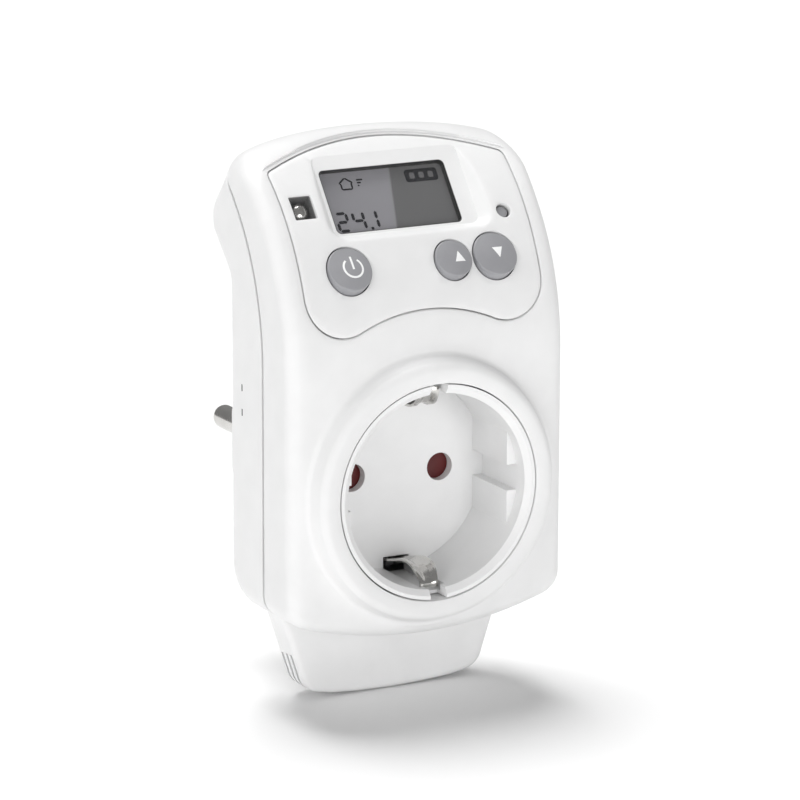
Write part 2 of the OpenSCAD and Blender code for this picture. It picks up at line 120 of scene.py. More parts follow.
class Sheet:
    """A surface put together from rings of points, in millimetres."""

    def __init__(self):
        self.verts, self.faces = [], []

    def ring(self, points):
        first = len(self.verts)
        self.verts += [tuple(map(float, p)) for p in points]
        return list(range(first, len(self.verts)))

    def bridge(self, a, b, closed=True):
        count = len(a)
        for i in range(count if closed else count - 1):
            j = (i + 1) % count
            self.faces.append((a[i], a[j], b[j], b[i]))

    def chain(self, rings, closed=True):
        for a, b in zip(rings, rings[1:]):
            self.bridge(a, b, closed)

    def cap(self, ring):
        self.faces.append(tuple(ring))

    def fill(self, loops, flatten, place, pitch, margin=0.45):
        """Fills the first loop, less the others, with triangles on a grid of rows."""
        flat = [[flatten(self.verts[i]) for i in loop] for loop in loops]
        border = np.array([p for loop in flat for p in loop])
        low, high = border.min(0), border.max(0)
        rows = np.arange(low[1] + pitch[1] / 2, high[1], pitch[1])
        cols = np.arange(-pitch[0] * math.ceil(-low[0] / pitch[0]), high[0], pitch[0])
        grid = np.array([(x, y) for y in rows for x in cols])
        keep = inside(grid, flat[0])
        for hole in flat[1:]:
            keep &= ~inside(grid, hole)
        grid = clear_of(grid[keep], border, margin)
        index = [i for loop in loops for i in loop] + self.ring([place(*p) for p in grid])
        edges, start = [], 0
        for loop in loops:
            edges += [(start + i, start + (i + 1) % len(loop)) for i in range(len(loop))]
            start += len(loop)
        points = [Vector(p) for p in border] + [Vector(p) for p in grid]
        out, _, faces, origin, _, _ = delaunay_2d_cdt(points, edges, [], 1, 1e-7)
        middles = np.array([np.mean([out[i][:] for i in f], 0) for f in faces])
        good = inside(middles, flat[0])
        for hole in flat[1:]:
            good &= ~inside(middles, hole)
        for f, ok in zip(faces, good):
            if ok:
                self.faces.append(tuple(index[origin[i][0]] for i in f))


def mesh_piece(sheet, name, body, material, replaces=(), solid=0.0, middle=None, sharp=35):
    """Makes the piece: smooth shaded, facing outwards, with a wall of the given thickness."""
    mesh = bpy.data.meshes.new(name)
    mesh.from_pydata([tuple(c * MM for c in v) for v in sheet.verts], [], sheet.faces)
    made = bmesh.new()
    made.from_mesh(mesh)
    bmesh.ops.remove_doubles(made, verts=made.verts, dist=1e-7)
    bmesh.ops.dissolve_degenerate(made, edges=made.edges, dist=1e-8)
    loose = [v for v in made.verts if not v.link_faces]
    bmesh.ops.delete(made, geom=loose, context="VERTS")
    bmesh.ops.recalc_face_normals(made, faces=made.faces)
    heart = Vector(middle) * MM if middle else Vector(np.mean([v.co for v in made.verts], 0))
    swell = sum(f.calc_area() * f.normal.dot(f.calc_center_median() - heart) for f in made.faces)
    if swell < 0:
        bmesh.ops.reverse_faces(made, faces=made.faces)
    made.to_mesh(mesh)
    made.free()
    mesh.shade_smooth()
    mesh.set_sharp_from_angle(angle=math.radians(sharp))
    piece = bpy.data.objects.new(name, mesh)
    bpy.context.scene.collection.objects.link(piece)
    if solid:
        wall = piece.modifiers.new("wall", "SOLIDIFY")
        wall.thickness = solid * MM
        wall.offset = -1
    mesh.materials.append(material)
    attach(piece, body)
    if replaces:
        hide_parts(*replaces)
    return piece


def axis_ring(radius, y, count=96, centre=(0, 0), start=0.0):
    angles = np.linspace(0, 2 * math.pi, count, endpoint=False) + start
    return [(centre[0] + radius * math.sin(a), y, centre[1] + radius * math.cos(a)) for a in angles]


def on_panel(x, u, w):
    """Panel coordinates to the frame."""
    s, c = math.sin(TILT), math.cos(TILT)
    return (x, PANEL_Y + u * s - w * c, PANEL_Z + u * c + w * s)


# ---------------------------------------------------------------- shape of the housing
def round_join(a, b, radius):
    """Distance to the overlap of two shapes, with their shared edge rounded."""
    inner = np.minimum(np.maximum(a, b), -radius)
    return inner + np.hypot(np.maximum(a + radius, 0), np.maximum(b + radius, 0))


def ease(t):
    t = np.clip(t, 0, 1)
    return t * t * (3 - 2 * t)


def soft_ramp(t, width=1.0):
    return (t + np.sqrt(t * t + width * width)) / 2


def rear_depth(z):
    """Depth of the back: the lower back, the slope, and the head's pad against the wall."""
    return REAR_Y + soft_ramp(z - STEP_LOW) - soft_ramp(z - STEP_HIGH)


def outline_distance(x, z):
    ax = np.abs(x)
    edge = np.maximum(np.hypot(x, z - CROWN_CZ) - CROWN_R, np.hypot(x, z - BELLY_CZ) - BELLY_R)
    edge = np.maximum(edge, ax - HALF_W)
    top = (z > UPPER_Z) & (ax * (UPPER_Z - CROWN_CZ) > (z - CROWN_CZ) * UPPER_X)
    low = (z < LOWER_Z) & (ax * (BELLY_CZ - LOWER_Z) > (BELLY_CZ - z) * LOWER_X)
    edge = np.where(top, np.hypot(ax - UPPER_X, z - UPPER_Z) - UPPER_R, edge)
    return np.where(low, np.hypot(ax - LOWER_X, z - LOWER_Z) - LOWER_R, edge)


def front_distance(y, z):
    arched = np.hypot(y - FRONT_Y - BROW_R, z - BROW_Z) - BROW_R
    return np.where(z > BROW_Z, arched, FRONT_Y - y)


def housing_distance(x, y, z):
    """Distance to the rounded housing, negative inside."""
    slope = (rear_depth(z + 0.01) - rear_depth(z - 0.01)) / 0.02
    back = (y - rear_depth(z)) / np.sqrt(1 + slope * slope)
    crown, belly = ease((z - 50) / 9), ease((-17 - z) / 7)
    body = round_join(outline_distance(x, z), back, 2.5 + 7.5 * crown + 4.5 * belly)
    return round_join(body, front_distance(y, z), 3.0 - 0.6 * crown)


def seam_distance(y, z):
    """How far a point lies behind the joint between the covers."""
    arched = BROW_R - np.hypot(y - SEAM_Y - BROW_R, z - BROW_Z)
    return np.where(z > BROW_Z, arched, y - SEAM_Y)


def bisect(value, low, high, steps=44):
    """Where value(t) changes from negative to positive between low and high."""
    for _ in range(steps):
        mid = (low + high) / 2
        below = value(mid) < 0
        low, high = np.where(below, mid, low), np.where(below, high, mid)
    return (low + high) / 2


def front_y(z, depth=0.0):
    """Depth of the front surface, moved in by depth, at height z."""
    z = np.asarray(z, float)
    radius = BROW_R - depth
    arched = FRONT_Y + BROW_R - np.sqrt(np.maximum(radius**2 - np.maximum(z - BROW_Z, 0) ** 2, 0))
    return np.where(z > BROW_Z, arched, FRONT_Y + depth)


def face_y(x, z):
    """Depth of the rounded front at a place seen from the front."""
    x, z = np.asarray(x, float), np.asarray(z, float)
    mid = (front_y(z) + rear_depth(z)) / 2
    return mid - bisect(lambda t: housing_distance(x, mid - t, z), np.zeros_like(mid), np.full_like(mid, 40))


def half_outline():
    """Points and outward directions from the belly's middle round the right side to the crown's."""
    low_angle = math.degrees(math.atan2(LOWER_Z - BELLY_CZ, LOWER_X))
    top_angle = math.degrees(math.atan2(UPPER_Z - CROWN_CZ, UPPER_X))
    parts = [
        (0, BELLY_CZ, BELLY_R, np.linspace(-90, low_angle, 24)),
        (LOWER_X, LOWER_Z, LOWER_R, np.linspace(low_angle, 0, 12)[1:]),
        (UPPER_X, UPPER_Z, UPPER_R, np.linspace(0, top_angle, 14)),
        (0, CROWN_CZ, CROWN_R, np.linspace(top_angle, 90, 26)[1:]),
    ]
    rows = [[(cx + r * math.cos(t), cz + r * math.sin(t), math.cos(t), math.sin(t)) for t in np.radians(a)]
            for cx, cz, r, a in parts]
    side = [(HALF_W, z, 1.0, 0.0) for z in np.linspace(LOWER_Z, UPPER_Z, 66)[1:-1]]
    right = np.array(rows[0] + rows[1] + side + rows[2] + rows[3])
    left = right[-2:0:-1] * (-1, 1, -1, 1)
    return np.vstack([right, left])


CORE_INSET = 4.5


def housing_columns():
    """For each place round the outline, a fine line over the housing from its front face to its back."""
    ring = half_outline()
    x, z, nx, nz = ring.T
    on_crown = ease(np.clip((UPPER_X - np.abs(x)) / UPPER_X, 0, 1)) * (z > 40)
    in_corner = np.clip(nz / 0.9, 0, 1) * (z > 40)
    inset = CORE_INSET + 2.5 * in_corner + 3.0 * on_crown
    cx, cz = x - inset * nx, z - inset * nz
    cy = (front_y(cz) + rear_depth(cz)) / 2
    ahead = bisect(lambda t: housing_distance(cx, cy - t, cz), np.zeros_like(cx), np.full_like(cx, 40))
    behind = bisect(lambda t: housing_distance(cx, cy + t, cz), np.zeros_like(cx), np.full_like(cx, 40))
    corner = 3.0
    quarter = np.radians(np.linspace(0, 90, 40))
    outs, deps = [], []
    for t in np.linspace(0, 1, 12)[:-1]:
        outs.append(t * (inset - corner))
        deps.append(-ahead)
    for a in quarter:
        outs.append(inset - corner + corner * math.sin(a))
        deps.append(-ahead + corner - corner * math.cos(a))
    for t in np.linspace(0, 1, 90)[1:-1]:
        outs.append(inset)
        deps.append((-ahead + corner) * (1 - t) + (behind - corner) * t)
    for a in quarter:
        outs.append(inset - corner + corner * math.cos(a))
        deps.append(behind - corner + corner * math.sin(a))
    for t in np.linspace(1, 0, 12)[1:]:
        outs.append(t * (inset - corner))
        deps.append(behind)
    out, dep = np.array(outs).T, np.array(deps).T
    size = np.hypot(out, dep)
    out, dep = out / size, dep / size

    def place(t):
        side = t * out
        return cx[:, None] + side * nx[:, None], cy[:, None] + t * dep, cz[:, None] + side * nz[:, None]

    t = bisect(lambda t: housing_distance(*place(t)), np.zeros_like(out), np.full_like(out, 45))
    return np.stack(place(t), axis=2), np.stack([nx, nz], 1)


def resample(line, count):
    """count points along a fine line, closer together where it bends."""
    step = np.diff(line, axis=0)
    length = np.linalg.norm(step, axis=1)
    heading = step / np.maximum(length, 1e-9)[:, None]
    turn = np.r_[0, np.arccos(np.clip((heading[1:] * heading[:-1]).sum(1), -1, 1))]
    weight = np.r_[0, np.cumsum(length + 6.0 * turn)]
    want = np.linspace(0, weight[-1], count)
    return np.stack([np.interp(want, weight, line[:, k]) for k in range(3)], 1)


def cut_line(line, value, level, keep_before):
    """The part of the line before, or after, the place where value reaches level."""
    past = np.nonzero(value >= level)[0][0]
    a, b = value[past - 1], value[past]
    edge = line[past - 1] + (line[past] - line[past - 1]) * (level - a) / (b - a)
    return np.vstack([line[:past], edge]) if keep_before else np.vstack([edge, line[past:]])


COLUMNS, COLUMN_NORMALS = housing_columns()


# ---------------------------------------------------------------- materials
def make_material(name, dark, light, rough=0.45, grain=0.25, bump=0.05, metal=0.0, blotch=6.0, **sockets):
    """A procedural finish: two close tones in soft patches, a fine surface grain and uneven gloss.

    grain is the size of the surface texture and blotch that of the colour patches, in millimetres.
    """
    material = bpy.data.materials.new(name)
    material.use_nodes = True
    tree = material.node_tree
    shader = tree.nodes["Principled BSDF"]
    place = tree.nodes.new("ShaderNodeTexCoord")

    def noise(size, detail):
        node = tree.nodes.new("ShaderNodeTexNoise")
        node.inputs["Scale"].default_value = 1 / (size * MM)
        node.inputs["Detail"].default_value = detail
        tree.links.new(place.outputs["Object"], node.inputs["Vector"])
        return node.outputs["Fac"]

    tone = tree.nodes.new("ShaderNodeValToRGB")
    tone.color_ramp.elements[0].position = 0.3
    tone.color_ramp.elements[1].position = 0.7
    tone.color_ramp.elements[0].color = (*dark, 1)
    tone.color_ramp.elements[1].color = (*light, 1)
    tree.links.new(noise(blotch, 3), tone.inputs["Fac"])
    tree.links.new(tone.outputs["Color"], shader.inputs["Base Color"])
    gloss = tree.nodes.new("ShaderNodeMapRange")
    gloss.inputs["To Min"].default_value = rough * 0.85
    gloss.inputs["To Max"].default_value = min(rough * 1.15, 1)
    tree.links.new(noise(grain * 6, 4), gloss.inputs["Value"])
    tree.links.new(gloss.outputs["Result"], shader.inputs["Roughness"])
    relief = tree.nodes.new("ShaderNodeBump")
    relief.inputs["Strength"].default_value = bump
    relief.inputs["Distance"].default_value = grain * MM * 0.3
    tree.links.new(noise(grain, 2), relief.inputs["Height"])
    tree.links.new(relief.outputs["Normal"], shader.inputs["Normal"])
    shader.inputs["Metallic"].default_value = metal
    for socket, value in sockets.items():
        shader.inputs[socket.replace("_", " ")].default_value = value
    return material


def grey(value, warmth=0.0):
    return (value * (1 + warmth), value, value * (1 - warmth))


HOUSING = make_material("housing_white", grey(0.79), grey(0.82), rough=0.5, bump=0.12)
PANEL = make_material("panel_white", grey(0.79), grey(0.82), rough=0.48, bump=0.1)
INSERT = make_material("insert_white", grey(0.82), grey(0.85), rough=0.3, bump=0.06)
KEY = make_material("key_grey", (0.285, 0.285, 0.30), (0.32, 0.32, 0.335), rough=0.38, bump=0.1)
MARK = make_material("mark_white", grey(0.88), grey(0.92), rough=0.5, bump=0.05)
CLEAR = make_material("clear_plastic", grey(0.3), grey(0.34), rough=0.06, bump=0.01, Alpha=0.04,
                      **{"Specular IOR Level": 0.12})
FACE = make_material("display_grey", (0.125, 0.125, 0.128), (0.14, 0.14, 0.143), rough=0.25, bump=0.02)
INK = make_material("display_ink", (0.012, 0.012, 0.016), (0.018, 0.018, 0.022), rough=0.4, bump=0.02,
                    **{"Specular IOR Level": 0.1})
# Painted shade: the seam lip is white plastic, coloured dark grey here to darken the gap between the covers.
LIP_PAINTED_SHADE = make_material("housing_lip_painted_shade", grey(0.10), grey(0.12), rough=0.7, bump=0.05)
# Black for the display's gasket, and painted shade standing in for the side slits' openings.
GASKET_AND_SLIT_SHADE = make_material("gasket_and_slit_shade", grey(0.02), grey(0.03), rough=0.5, bump=0.1)
SHUTTER = make_material("shutter_red", (0.085, 0.003, 0.003), (0.11, 0.004, 0.004), rough=0.35, bump=0.05)
NICKEL = make_material("nickel", (0.60, 0.59, 0.57), (0.70, 0.69, 0.67), rough=0.2, bump=0.01,
                       metal=1.0, grain=0.15)
BRASS = make_material("brass", (0.62, 0.44, 0.18), (0.72, 0.52, 0.22), rough=0.3, bump=0.08, metal=1.0)
STEEL = make_material("steel", (0.5, 0.5, 0.51), (0.6, 0.6, 0.61), rough=0.32, bump=0.1, metal=1.0)
BOARD = make_material("board_green", (0.01, 0.09, 0.035), (0.014, 0.12, 0.045), rough=0.3,
                      bump=0.15, grain=0.5)
BLACK = make_material("black_plastic", grey(0.02), grey(0.03), rough=0.45, bump=0.15)
RELAY = make_material("relay_blue", (0.02, 0.07, 0.3), (0.03, 0.09, 0.36), rough=0.4, bump=0.08)
FILM = make_material("capacitor_yellow", (0.55, 0.34, 0.04), (0.62, 0.4, 0.05), rough=0.3, bump=0.08)
VARISTOR = make_material("varistor_blue", (0.02, 0.12, 0.3), (0.03, 0.15, 0.36), rough=0.35,
                         bump=0.3, grain=0.6)
CERAMIC = make_material("fuse_ceramic", (0.62, 0.57, 0.46), (0.7, 0.65, 0.54), rough=0.35, bump=0.1)
RUBBER = make_material("strip_rubber", (0.32, 0.16, 0.17), (0.38, 0.2, 0.21), rough=0.7, bump=0.2)
BEAD = make_material("sensor_bead", (0.09, 0.03, 0.012), (0.12, 0.04, 0.018), rough=0.25, bump=0.1)
LEAD_GREY = make_material("lead_grey", grey(0.14), grey(0.18), rough=0.55, bump=0.1)
LEAD_BROWN = make_material("lead_brown", (0.09, 0.03, 0.012), (0.12, 0.04, 0.02), rough=0.5, bump=0.1)

FINISH = {
    "housing_white": HOUSING, "panel_white": PANEL, "insert_white": INSERT, "key_grey": KEY,
    "clear_plastic": CLEAR, "display_grey": FACE, "shutter_red": SHUTTER, "nickel": NICKEL, "brass": BRASS,
    "steel": STEEL, "board_green": BOARD, "black_plastic": BLACK, "relay_blue": RELAY,
    "capacitor_yellow": FILM, "varistor_blue": VARISTOR, "fuse_ceramic": CERAMIC, "strip_rubber": RUBBER,
    "sensor_bead": BEAD, "lead_grey": LEAD_GREY, "lead_brown": LEAD_BROWN,
}
for part in frame["record"]["subparts"]:
    mesh = nodes[part["node"]].data
    mesh.materials.clear()
    mesh.materials.append(FINISH[part["material_slot"]])


# ---------------------------------------------------------------- covers
def inward_along_seam(point, normal):
    """Direction from the surface into the wall that stays on the joint surface between the covers."""
    out = np.array([normal[0], 0.0, normal[1]])
    across = np.array([0.0, 1.0, 0.0])
    if point[2] > BROW_Z:
        across = np.array([0.0, SEAM_Y + BROW_R - point[1], BROW_Z - point[2]]) / BROW_R
    inward = -(out - out.dot(across) * across)
    return inward / np.linalg.norm(inward)


def seam_rings(sheet, side):
    """The edge of a cover at the joint: a small rounding, then the wall's end face."""
    rings = []
    for gap, depth in ((0.05, 0.03), (0.0, 0.14), (0.0, 1.6)):
        points = []
        for line, normal in zip(COLUMNS, COLUMN_NORMALS):
            value = seam_distance(line[:, 1], line[:, 2])
            edge = cut_line(line, value, side * (SEAM_HALF_GAP + gap), side < 0)[-1 if side < 0 else 0]
            points.append(edge + depth * inward_along_seam(edge, normal))
        rings.append(sheet.ring(points))
    return rings


def inset_at_crown(at_side, at_crown):
    """An inset from the outline for each column, growing through the upper corners to the crown."""
    x, nz = COLUMNS[:, 0, 0], COLUMN_NORMALS[:, 1]
    on_top = (COLUMNS[:, 0, 2] > 40) & (nz > 0)
    middle = ease(1 - np.abs(x) / UPPER_X)
    grown = at_side + (at_crown - at_side) * (0.6 * np.clip(nz / 0.9, 0, 1) + 0.4 * middle)
    return np.where(on_top, grown, at_side)


def front_cover():
    sheet = Sheet()
    inset = inset_at_crown(1.9, 2.6)
    lines = []
    for line, away in zip(COLUMNS, inset):
        value = seam_distance(line[:, 1], line[:, 2])
        line = cut_line(line, value, -SEAM_HALF_GAP - 0.12, True)
        line = cut_line(line, outline_distance(line[:, 0], line[:, 2]), -away, False)
        lines.append(resample(line, 40))
    grid = np.array(lines)
    rings = [sheet.ring(grid[:, k]) for k in range(grid.shape[1])]
    sheet.chain(rings + seam_rings(sheet, -1))

    foot_r = 1.2
    turns = np.radians(np.linspace(0, 80, 8))
    foot = [(26.9 - foot_r * math.sin(a), -foot_r * (1 - math.cos(a))) for a in turns]
    slope = [(25.5, -1.7), (25.3, -2.1)]
    top = [(23.4 + 1.8 * math.cos(a), -2.2 - 1.8 * math.sin(a)) for a in np.radians(np.linspace(8, 90, 9))]
    rim = [(21.35, -4.0), (21.18, -3.93), (21.1, -3.75), (21.1, -1.0), (21.1, 3.0), (21.1, 13.2)]
    collar = [sheet.ring(axis_ring(r, FRONT_Y + y, 160)) for r, y in foot + slope + top + rim]
    sheet.chain(collar)

    opening = []
    for grow, depth in ((0.22, 0.0), (0.08, 0.05), (0.0, 0.18), (0.0, 2.05)):
        outline = panel_outline(-grow)
        opening.append(sheet.ring([(x, float(front_y(z, depth)), z) for x, z in outline]))
    ledge = [(x, float(front_y(z, 2.05)), z) for x, z in panel_outline(1.4)]
    sheet.chain(opening + [sheet.ring(ledge)])
    sheet.fill(
        [rings[0], collar[0], opening[0]],
        lambda v: (v[0], v[2]),
        lambda x, z: (x, float(face_y(x, z)), z),
        (1.6, 1.1),
    )
    return mesh_piece(sheet, "front_cover_shell", "housing", HOUSING, ["front_cover"],
                      solid=1.0, middle=(0, -38, 20))


def panel_outline(inset=0.0, pitch=0.9):
    """Control panel seen from the front, pulled in by inset."""
    lobe_r, lobe_x, lobe_z, top_z, top_r, corner = 8.0, 17.4, 38.6, 63.9, 82.0, 1.2
    half = lobe_x + lobe_r
    cx, top_cz = half - corner, top_z - top_r
    cz = top_cz + math.sqrt((top_r - corner) ** 2 - cx**2)
    ca = math.degrees(math.atan2(cz - top_cz, cx))
    hollow = math.hypot(lobe_x, lobe_z) - lobe_r
    angle = math.degrees(math.atan2(lobe_z, lobe_x))
    right = (
        arc(0, 0, hollow + inset, 90, angle, 30)[:-1]
        + arc(lobe_x, lobe_z, lobe_r - inset, angle + 180, 360, 26)
        + arc(cx, cz, max(corner - inset, 0.2), 0, ca, 6)
        + arc(0, top_cz, top_r - inset, ca, 90, 34)[1:]
    )
    left = [(-x, z) for x, z in right[-2:0:-1]]
    return spread(right + left, pitch)


def back_y(x, z):
    """Depth of the rounded back at a place seen from the front."""
    x, z = np.asarray(x, float), np.asarray(z, float)
    mid = (front_y(z) + rear_depth(z)) / 2
    return mid + bisect(lambda t: housing_distance(x, mid + t, z), np.zeros_like(mid), np.full_like(mid, 40))


SCREWS = [(-24.4, -15.5), (24.4, -15.5), (-24.4, 26.5), (24.4, 26.5)]


def rear_cover():
    sheet = Sheet()
    inset = inset_at_crown(1.9, 9.0)
    lines = []
    for line, away in zip(COLUMNS, inset):
        value = seam_distance(line[:, 1], line[:, 2])
        line = cut_line(line, value, SEAM_HALF_GAP + 0.12, False)
        line = cut_line(line[::-1], outline_distance(line[::-1, 0], line[::-1, 2]), -away, False)
        lines.append(resample(line, 40))
    grid = np.array(lines)
    rings = [sheet.ring(grid[:, k]) for k in range(grid.shape[1])]
    sheet.chain(rings + seam_rings(sheet, 1))

    boss = [(24.4, 0), (24.15, 0.06), (23.95, 0.3), (22.4, 7.2), (22.2, 7.75), (21.8, 8.0), (19.0, 8.0),
            (18.8, 7.9), (18.7, 7.6), (18.7, 0.0), (18.7, -2.0)]
    boss = [sheet.ring(axis_ring(r, REAR_Y + y, 160)) for r, y in boss]
    sheet.chain(boss)
    holes = []
    for x, z in SCREWS:
        well = []
        for r, depth in ((3.05, 0), (2.93, 0.05), (2.9, 0.2)):
            well.append(sheet.ring([(a, float(back_y(a, b)) - depth, b) for a, b in circle(x, z, r, 40)]))
        for r, depth in ((2.9, 4.5), (1.6, 4.5), (1.6, 6.0)):
            well.append(sheet.ring([(a, REAR_Y - depth, b) for a, b in circle(x, z, r, 40)]))
        sheet.chain(well)
        holes.append(well[0])
    sheet.fill(
        [rings[0], boss[0]] + holes,
        lambda v: (v[0], v[2]),
        lambda x, z: (x, float(back_y(x, z)), z),
        (1.8, 1.1),
        margin=0.35,
    )
    return mesh_piece(sheet, "rear_cover_shell", "housing", HOUSING, ["rear_cover"],
                      solid=1.0, middle=(0, -38, 20))


def carve(piece, cutters, operation="DIFFERENCE"):
    """Applies closed cutters to a piece's mesh and removes them."""
    for cutter in cutters:
        change = piece.modifiers.new("cut", "BOOLEAN")
        change.object, change.operation, change.solver = cutter, operation, "EXACT"
    bpy.context.view_layer.update()
    done = bpy.data.meshes.new_from_object(piece.evaluated_get(bpy.context.evaluated_depsgraph_get()))
    piece.modifiers.clear()
    piece.data = done
    for cutter in cutters:
        bpy.data.objects.remove(cutter)
    done.shade_smooth()
    done.set_sharp_from_angle(angle=math.radians(35))


def cutter_box(centre, size, turn):
    """A closed box, turned about Y by turn degrees, for carve()."""
    made = bmesh.new()
    bmesh.ops.create_cube(made, size=1.0)
    place = Matrix.Translation(Vector(centre) * MM) @ Matrix.Rotation(math.radians(turn), 4, "Y")
    bmesh.ops.transform(made, matrix=place @ Matrix.Diagonal((*(s * MM for s in size), 1)), verts=made.verts)
    mesh = bpy.data.meshes.new("cutter")
    made.to_mesh(mesh)
    made.free()
    cutter = bpy.data.objects.new("cutter", mesh)
    bpy.context.scene.collection.objects.link(cutter)
    return cutter


def offset_line(points, inset):
    """A closed anticlockwise outline pulled in by inset."""
    p = np.array(points)
    along = np.roll(p, -1, 0) - np.roll(p, 1, 0)
    along /= np.linalg.norm(along, axis=1)[:, None]
    return p + inset * np.stack([-along[:, 1], along[:, 0]], 1)


FOOT_FRONT, FOOT_REAR, FOOT_LOW = -37.3, -29.6, -43.4


def rear_cover_foot():
    """The flat foot under the rear cover that holds the air temperature sensor."""
    low_w, top_w, corner = 20.3, 24.4, 4.7
    bottom_r = 150.0
    turn = math.degrees(math.atan2(top_w - low_w, 19))
    side_x = low_w - corner - 0.2
    side_z = FOOT_LOW + corner + 1.1
    right = arc(0, FOOT_LOW + bottom_r, bottom_r, -90, -90 + 5.0, 12)
    right += arc(side_x, side_z, corner, -80, -turn, 12)
    right += arc(top_w - 3.0, -25.0, 3.0, -turn, 90, 12)
    left = [(-x, z) for x, z in right[::-1] if x > 0.01]
    outline = spread(right + left, 1.2)
    sheet = Sheet()
    soft = 1.3
    turns = np.radians([0, 18, 36, 54, 72, 90])
    bends = [(soft * (1 - math.cos(a)), soft * (1 - math.sin(a))) for a in turns]
    rings = [sheet.ring([(x, FOOT_FRONT + d, z) for x, z in offset_line(outline, e)]) for d, e in bends]
    rings += [sheet.ring([(x, FOOT_REAR - d, z) for x, z in offset_line(outline, e)]) for d, e in bends[::-1]]
    sheet.chain(rings)
    for ring, y in ((rings[0], FOOT_FRONT), (rings[-1], FOOT_REAR)):
        sheet.fill([ring], lambda v: (v[0], v[2]), lambda x, z, y=y: (x, y, z), (2.5, 2.5))
    piece = mesh_piece(sheet, "rear_cover_foot", "housing", HOUSING, middle=(0, -33, -33))
    vent_pitch, vent_z, vent_turn = 2, -37.8, 16
    vents = [cutter_box((side * (low_w - 0.6), FOOT_FRONT + vent_pitch * (i + 1), vent_z),
                        (7, 0.9, 7.6 - 0.5 * i),
                        side * vent_turn) for side in (-1, 1) for i in range(3)]
    carve(piece, vents)
    return piece


def seam_lip():
    """The rear cover's lip, which laps behind the front cover's edge, dark grey as painted shade in the seam
    gap.
    """
    sheet = Sheet()
    rings = []
    for gap, depth in ((-1.6, 1.7), (1.6, 1.7), (1.6, 2.3), (-1.6, 2.3)):
        points = []
        for line, normal in zip(COLUMNS, COLUMN_NORMALS):
            edge = cut_line(line, seam_distance(line[:, 1], line[:, 2]), gap, True)[-1]
            points.append(edge + depth * inward_along_seam(edge, normal))
        rings.append(sheet.ring(points))
    sheet.chain(rings + rings[:1])
    return mesh_piece(sheet, "rear_cover_lip", "housing", LIP_PAINTED_SHADE, middle=(0, -38, 20))


def side_slits():
    """Two small release slits on the left side, as dark inlays of painted shade."""
    sheet = Sheet()
    for z in (13.8, 18.6):
        loop = round_box(-31.4, z, 0.4, 1.4, 0.19, pitch=0.5)
        rings = [sheet.ring([(x, y, t) for y, t in loop]) for x in (-29.2, -29.61)]
        sheet.chain(rings)
        for ring in rings:
            sheet.cap(ring)
    return mesh_piece(sheet, "rear_cover_slits", "housing", GASKET_AND_SLIT_SHADE)


front_cover()
rear_cover()
rear_cover_foot()
seam_lip()
side_slits()


# ---------------------------------------------------------------- control panel
POCKET_FLOOR = -0.1
DISPLAY = (-0.95, 0.0, 26.8, 13.5)
LAMP = (-20.9, -1.5, 4.6, 5.1)
POWER, UP, DOWN, RESET = (-15.1, -14.9), (7.0, -14.9), (16.0, -14.9), (20.4, -6.3)
BIG_R, SMALL_R, RESET_R, RESET_HOLE_R, BUTTON_GAP = 4.5, 3.8, 1.2, 1.5, 0.2


def surface_w(u, depth=0.0):
    """Height of the panel's arched surface above the display plane."""
    back_y0, back_z0 = FRONT_Y + BROW_R - PANEL_Y, BROW_Z - PANEL_Z
    cu = back_y0 * math.sin(TILT) + back_z0 * math.cos(TILT)
    cw = -back_y0 * math.cos(TILT) + back_z0 * math.sin(TILT)
    return cw + math.sqrt(max((BROW_R - depth) ** 2 - (u - cu) ** 2, 0))


def to_panel(v):
    """A point of the frame in panel coordinates."""
    s, c = math.sin(TILT), math.cos(TILT)
    dy, dz = v[1] - PANEL_Y, v[2] - PANEL_Z
    return v[0], dy * s + dz * c, -dy * c + dz * s


def grown(points, amount):
    return [tuple(p) for p in offset_line(points, -amount)]


